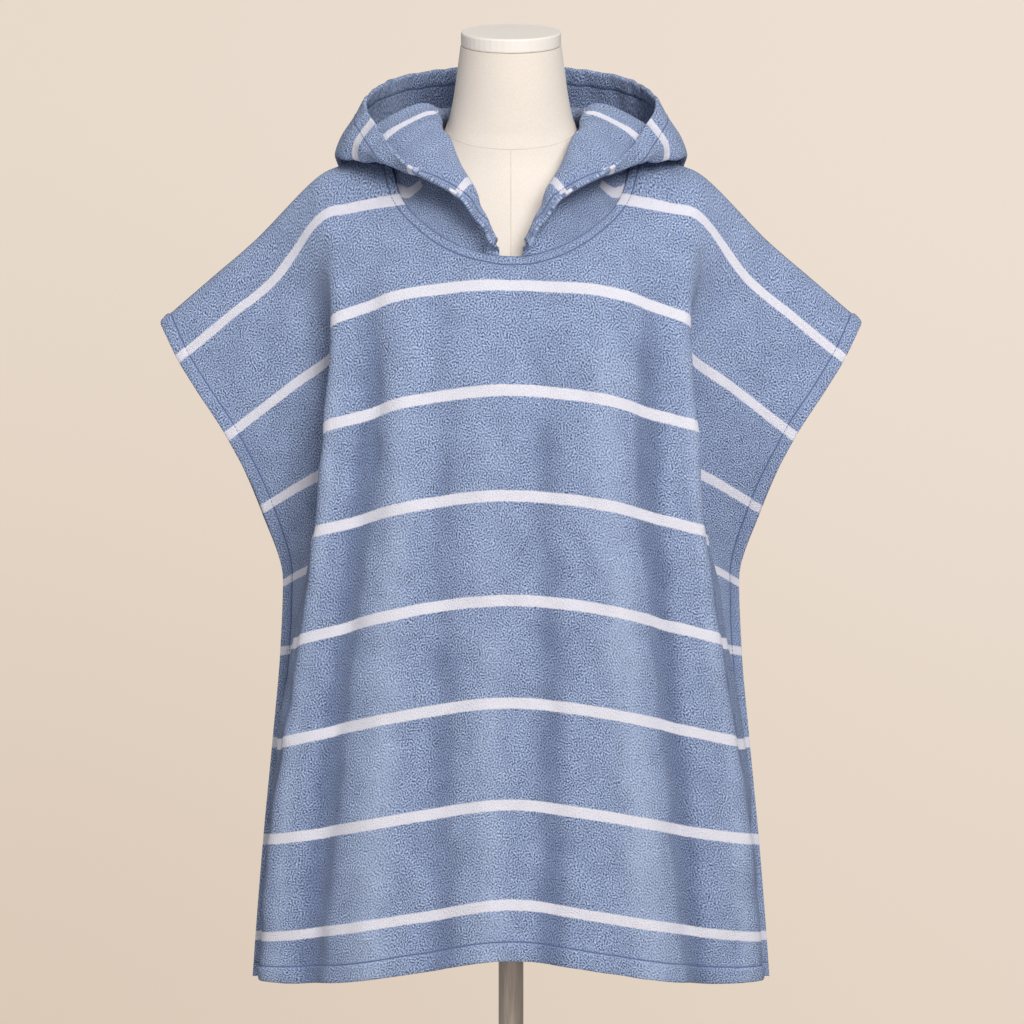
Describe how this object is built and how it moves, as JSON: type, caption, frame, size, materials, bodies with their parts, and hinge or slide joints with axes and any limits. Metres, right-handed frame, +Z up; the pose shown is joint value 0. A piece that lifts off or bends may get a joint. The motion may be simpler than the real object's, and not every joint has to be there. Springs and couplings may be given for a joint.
{
  "type": "hooded bath poncho on dress form stand",
  "caption": "Loose hooded bath poncho of striped terry towelling with open cuffs, worn by a limbless dress form that stands on a pole and a round base",
  "frame": {"origin": "on the floor under the middle of the base plate, on the pole's axis", "axes": "+Z up, the front of the poncho faces -Y, +X is the left side of the wearer"},
  "size_m": [0.724, 0.3883, 1.5295],
  "materials": {
    "towelling": "soft cotton terry loops, mid blue with narrow near-white weft stripes, matt",
    "jersey": "fine cream cotton jersey stretched over the form, matt",
    "painted_cap": "smooth cream, eggshell",
    "brushed_steel": "warm grey brushed nickel",
    "powder_coat": "fine cream powder coat"
  },
  "bodies": {
    "root": {"front_panel": "towelling", "back_panel": "towelling", "hood_left": "towelling", "hood_right": "towelling", "torso": "jersey", "neck_cap": "painted_cap", "pole": "brushed_steel", "base_plate": "powder_coat"}
  },
  "joints": []
}
